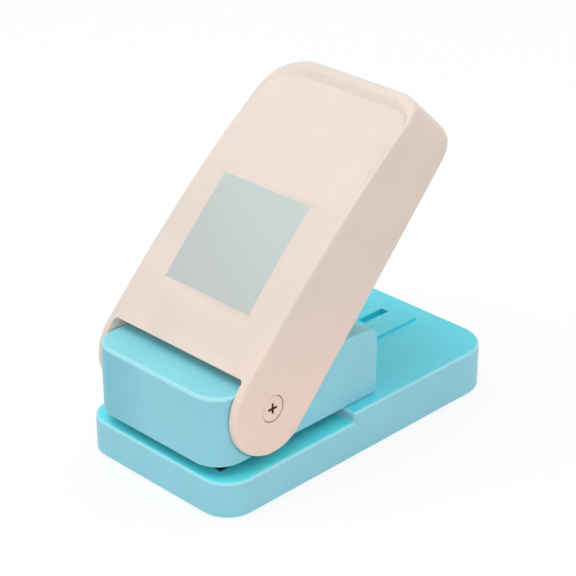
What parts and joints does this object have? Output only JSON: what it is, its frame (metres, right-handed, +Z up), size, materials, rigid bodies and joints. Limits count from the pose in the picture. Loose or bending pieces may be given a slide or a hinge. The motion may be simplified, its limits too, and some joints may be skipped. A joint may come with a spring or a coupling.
{
  "type": "tag punch",
  "caption": "Desk punch that trims the corners of a tag's end and punches its hole when a long lever, hinged at the front, is pressed down.",
  "frame": {"origin": "on the surface it stands on, under the middle of the base", "axes": "+Z up, +Y from the card mouth at the front to the back, +X to the right when looking along +Y"},
  "size_m": [0.068, 0.1274, 0.1153],
  "materials": {
    "blue_plastic": "satin moulded plastic, light turquoise blue",
    "cream_plastic": "satin moulded plastic, warm cream",
    "square_grey": "smooth bare square, pale grey blue",
    "dark_plastic": "dark grey moulded plastic, fine grain",
    "tool_steel": "ground tool steel",
    "cast_zinc": null,
    "brass": "turned brass",
    "spring_steel": "drawn spring wire",
    "screw_steel": "zinc-plated steel",
    "rubber": "soft dark rubber"
  },
  "bodies": {
    "frame": {"base": "blue_plastic", "chip_cover": "dark_plastic", "foot_front_left": "rubber", "foot_front_right": "rubber", "foot_rear_left": "rubber", "foot_rear_right": "rubber", "die_plate": "tool_steel", "die_screw_1": "screw_steel", "die_screw_2": "screw_steel", "die_screw_3": "screw_steel", "die_screw_4": "screw_steel", "paper_guide": "dark_plastic", "guide_plate": "tool_steel", "guide_screw_1": "screw_steel", "guide_screw_2": "screw_steel", "housing": "blue_plastic", "frame_screw_1": "screw_steel", "frame_screw_2": "screw_steel", "frame_screw_3": "screw_steel", "frame_screw_4": "screw_steel", "pivot_pin_left": "cream_plastic", "pivot_pin_right": "cream_plastic", "pivot_bush_left": "brass", "pivot_bush_right": "brass", "guide_pin_left": "tool_steel", "guide_pin_right": "tool_steel", "guide_pin_rear": "tool_steel", "return_spring_left": "spring_steel", "return_spring_right": "spring_steel", "return_spring_rear": "spring_steel"},
    "lever": {"lever": "cream_plastic", "label_square": "square_grey", "roller_axle": "screw_steel"},
    "roller": {"press_roller": "tool_steel"},
    "carrier": {"punch_carrier": "cast_zinc", "wear_plate": "tool_steel", "corner_cutter_left": "tool_steel", "corner_cutter_right": "tool_steel", "cutter_screw_1": "screw_steel", "cutter_screw_2": "screw_steel", "hole_pin": "tool_steel"}
  },
  "joints": [
    {"name": "lever_hinge", "type": "hinge", "parent": "frame", "child": "lever", "pos_m": [0, -0.042, 0.0325], "axis": [-1, 0, 0], "range_deg": [0, 45], "stiffness_Nm_per_rad": 0.22, "springref_deg": -14.32},
    {"name": "roller_spin", "type": "hinge", "parent": "lever", "child": "roller", "pos_m": [0, -0.03355, 0.036], "axis": [1, 0, 0], "continuous": true},
    {"name": "carrier_slide", "type": "slide", "parent": "frame", "child": "carrier", "axis": [0, 0, -1], "range_m": [0, 0.007], "deforming": ["return_spring_left", "return_spring_right", "return_spring_rear"]}
  ],
  "couplings": [
    {"joint": "carrier_slide", "follows": "lever_hinge", "m_per_rad": 0.0089127}
  ]
}
